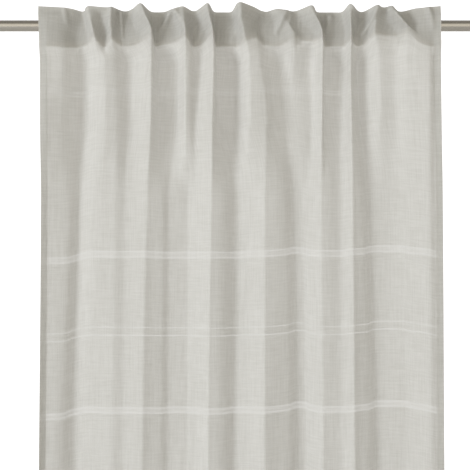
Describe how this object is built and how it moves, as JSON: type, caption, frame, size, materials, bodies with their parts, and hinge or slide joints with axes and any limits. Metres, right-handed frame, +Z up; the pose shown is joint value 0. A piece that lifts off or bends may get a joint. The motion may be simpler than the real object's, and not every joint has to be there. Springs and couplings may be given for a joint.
{
  "type": "curtain panel",
  "caption": "Gathered semi-sheer curtain panel that hangs from a round rod by hidden back tabs; the tabs slide along the rod, so the panel draws to one side.",
  "frame": {"origin": "on the rod's axis, at the middle of the hanging panel", "axes": "+X along the rod, to the right as seen from the room; +Y from the room towards the window; +Z up"},
  "size_m": [1.3126, 0.0853, 2.5],
  "materials": {
    "cloth": "semi-sheer slubbed plain weave",
    "heading_tape": "stiff woven band",
    "tab_webbing": "woven webbing",
    "label": "satin ribbon, blank",
    "rod_metal": "brushed nickel",
    "cap_metal": "brushed nickel"
  },
  "bodies": {
    "rod": {"curtain_rod": "rod_metal", "left_end_cap": "cap_metal", "right_end_cap": "cap_metal"},
    "tab_01": {"back_tab_01": "tab_webbing", "face_cloth_01": "cloth", "heading_tape": "heading_tape", "header_turning": "cloth", "bottom_hem": "cloth", "left_side_hem": "cloth", "care_label": "label"},
    "tab_02": {"back_tab_02": "tab_webbing", "face_cloth_02": "cloth"},
    "tab_03": {"back_tab_03": "tab_webbing", "face_cloth_03": "cloth"},
    "tab_04": {"back_tab_04": "tab_webbing", "face_cloth_04": "cloth"},
    "tab_05": {"back_tab_05": "tab_webbing", "face_cloth_05": "cloth"},
    "tab_06": {"back_tab_06": "tab_webbing", "face_cloth_06": "cloth"},
    "tab_07": {"back_tab_07": "tab_webbing", "face_cloth_07": "cloth"},
    "tab_08": {"back_tab_08": "tab_webbing", "face_cloth_08": "cloth"},
    "tab_09": {"back_tab_09": "tab_webbing", "face_cloth_09": "cloth"},
    "tab_10": {"back_tab_10": "tab_webbing", "face_cloth_10": "cloth", "right_side_hem": "cloth"}
  },
  "joints": [
    {"name": "panel_shift", "type": "slide", "parent": "rod", "child": "tab_01", "axis": [1, 0, 0], "range_m": [-0.14, 0.14]},
    {"name": "draw", "type": "slide", "parent": "tab_01", "child": "tab_10", "axis": [-1, 0, 0], "range_m": [0, 0.5558], "deforming": ["face_cloth_01", "face_cloth_02", "face_cloth_03", "face_cloth_04", "face_cloth_05", "face_cloth_06", "face_cloth_07", "face_cloth_08", "face_cloth_09", "face_cloth_10", "heading_tape", "header_turning", "bottom_hem"]},
    {"name": "gather_02", "type": "slide", "parent": "tab_01", "child": "tab_02", "axis": [-1, 0, 0], "range_m": [0, 0.0702]},
    {"name": "gather_03", "type": "slide", "parent": "tab_01", "child": "tab_03", "axis": [-1, 0, 0], "range_m": [0, 0.1248]},
    {"name": "gather_04", "type": "slide", "parent": "tab_01", "child": "tab_04", "axis": [-1, 0, 0], "range_m": [0, 0.1906]},
    {"name": "gather_05", "type": "slide", "parent": "tab_01", "child": "tab_05", "axis": [-1, 0, 0], "range_m": [0, 0.241]},
    {"name": "gather_06", "type": "slide", "parent": "tab_01", "child": "tab_06", "axis": [-1, 0, 0], "range_m": [0, 0.3124]},
    {"name": "gather_07", "type": "slide", "parent": "tab_01", "child": "tab_07", "axis": [-1, 0, 0], "range_m": [0, 0.3726]},
    {"name": "gather_08", "type": "slide", "parent": "tab_01", "child": "tab_08", "axis": [-1, 0, 0], "range_m": [0, 0.4321]},
    {"name": "gather_09", "type": "slide", "parent": "tab_01", "child": "tab_09", "axis": [-1, 0, 0], "range_m": [0, 0.4853]}
  ],
  "couplings": [
    {"joint": "gather_02", "follows": "draw", "ratio": 0.12595},
    {"joint": "gather_03", "follows": "draw", "ratio": 0.22418},
    {"joint": "gather_04", "follows": "draw", "ratio": 0.34257},
    {"joint": "gather_05", "follows": "draw", "ratio": 0.43325},
    {"joint": "gather_06", "follows": "draw", "ratio": 0.56171},
    {"joint": "gather_07", "follows": "draw", "ratio": 0.67002},
    {"joint": "gather_08", "follows": "draw", "ratio": 0.77708},
    {"joint": "gather_09", "follows": "draw", "ratio": 0.8728}
  ]
}
